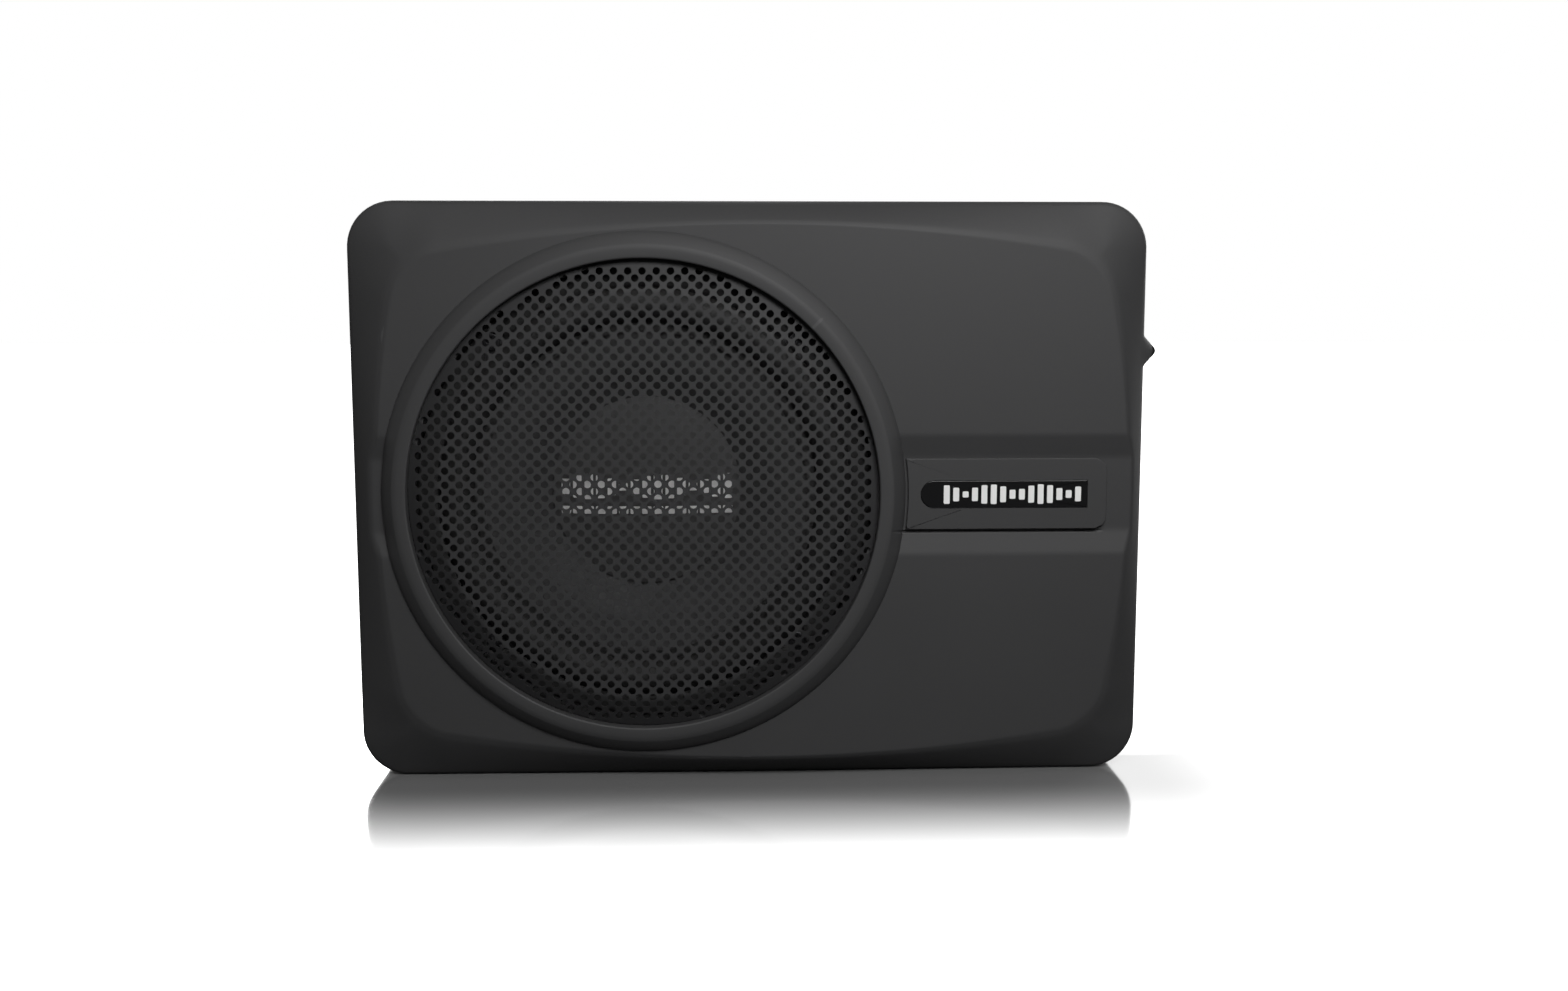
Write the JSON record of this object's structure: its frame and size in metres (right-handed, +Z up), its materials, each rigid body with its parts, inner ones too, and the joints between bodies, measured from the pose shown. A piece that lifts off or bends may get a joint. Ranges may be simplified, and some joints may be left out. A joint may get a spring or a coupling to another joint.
{
  "type": "powered car subwoofer",
  "caption": "Shallow powered under-seat car subwoofer: rounded cast housing, round perforated grille, badge channel across the face, connector and control panel in one end wall.",
  "frame": {"origin": "middle of the housing's long lower wall, at half the overall depth; the part stands on that wall", "axes": "+X to the right along the long side, seen from the grille side; +Y away from the grille, towards the rear cover; +Z up across the short side"},
  "size_m": [0.351, 0.072, 0.252],
  "materials": {
    "cast_black": "textured satin black paint on die-cast aluminium",
    "cover_black": "matt black powder coat on sheet steel",
    "grille_black": "satin black paint on pressed perforated steel",
    "plastic_black": "fine matt texture",
    "badge_black": "gloss black with a plain white printed motif",
    "rubber_black": "matt",
    "cone_black": "matt black pressed pulp",
    "spider_cloth": "impregnated cloth",
    "bare_steel": "zinc plated",
    "black_steel": "black zinc",
    "ferrite": "sintered, matt",
    "copper": "enamelled copper",
    "bare_aluminium": "mill finish",
    "board_green": "solder resist on glass laminate",
    "fuse_blue": "clear tinted plastic",
    "led_red": "diffused"
  },
  "bodies": {
    "housing": {"front_housing": "cast_black", "rear_cover": "cover_black", "cover_gasket": "rubber_black", "cover_screw_1": "black_steel", "cover_screw_2": "black_steel", "cover_screw_3": "black_steel", "cover_screw_4": "black_steel", "cover_screw_5": "black_steel", "cover_screw_6": "black_steel", "cover_screw_7": "black_steel", "cover_screw_8": "black_steel", "rubber_foot_1": "rubber_black", "rubber_foot_2": "rubber_black", "rubber_foot_3": "rubber_black", "rubber_foot_4": "rubber_black", "grille": "grille_black", "badge_carrier": "cast_black", "badge_plate": "badge_black", "driver_frame": "black_steel", "frame_gasket": "rubber_black", "driver_screw_1": "black_steel", "driver_screw_2": "black_steel", "driver_screw_3": "black_steel", "driver_screw_4": "black_steel", "surround": "rubber_black", "spider": "spider_cloth", "top_plate": "bare_steel", "magnet": "ferrite", "yoke": "bare_steel", "terminal_strip": "plastic_black", "tinsel_lead_1": "copper", "tinsel_lead_2": "copper", "circuit_board": "board_green", "heat_spreader": "bare_aluminium", "power_transistor_1": "plastic_black", "power_transistor_2": "plastic_black", "toroid_choke": "copper", "capacitor_1": "plastic_black", "capacitor_2": "plastic_black", "speaker_harness": "rubber_black", "connector_panel": "plastic_black", "remote_jack": "plastic_black", "high_level_socket": "plastic_black", "power_socket": "plastic_black", "rca_input": "plastic_black", "gain_control": "plastic_black", "lowpass_control": "plastic_black", "boost_control": "plastic_black", "phase_switch": "bare_steel", "fuse_holder": "plastic_black", "power_led": "led_red"},
    "cone_assembly": {"cone": "cone_black", "dust_cap": "cone_black", "voice_coil_former": "bare_aluminium", "voice_coil": "copper"},
    "gain_control_knob": {"gain_knob": "plastic_black"},
    "lowpass_control_knob": {"lowpass_knob": "plastic_black"},
    "boost_control_knob": {"boost_knob": "plastic_black"},
    "phase_switch_slider": {"phase_slider": "plastic_black"},
    "pulled_fuse": {"blade_fuse": "fuse_blue"}
  },
  "joints": [
    {"name": "cone_slide", "type": "slide", "parent": "housing", "child": "cone_assembly", "axis": [0, -1, 0], "range_m": [-0.003, 0.003], "stiffness_N_per_m": 3000, "deforming": ["surround", "spider", "tinsel_lead_1", "tinsel_lead_2"]},
    {"name": "gain_turn", "type": "hinge", "parent": "housing", "child": "gain_control_knob", "pos_m": [0.1673, 0.01, 0.141], "axis": [1, 0, 0], "range_deg": [-150, 150]},
    {"name": "lowpass_turn", "type": "hinge", "parent": "housing", "child": "lowpass_control_knob", "pos_m": [0.1673, 0.01, 0.127], "axis": [1, 0, 0], "range_deg": [-150, 150]},
    {"name": "boost_turn", "type": "hinge", "parent": "housing", "child": "boost_control_knob", "pos_m": [0.1673, 0.01, 0.113], "axis": [1, 0, 0], "range_deg": [-150, 150]},
    {"name": "phase_slide", "type": "slide", "parent": "housing", "child": "phase_switch_slider", "axis": [0, 0, 1], "range_m": [0, 0.003]},
    {"name": "fuse_pull", "type": "slide", "parent": "housing", "child": "pulled_fuse", "axis": [1, 0, 0], "range_m": [0, 0.022]}
  ]
}
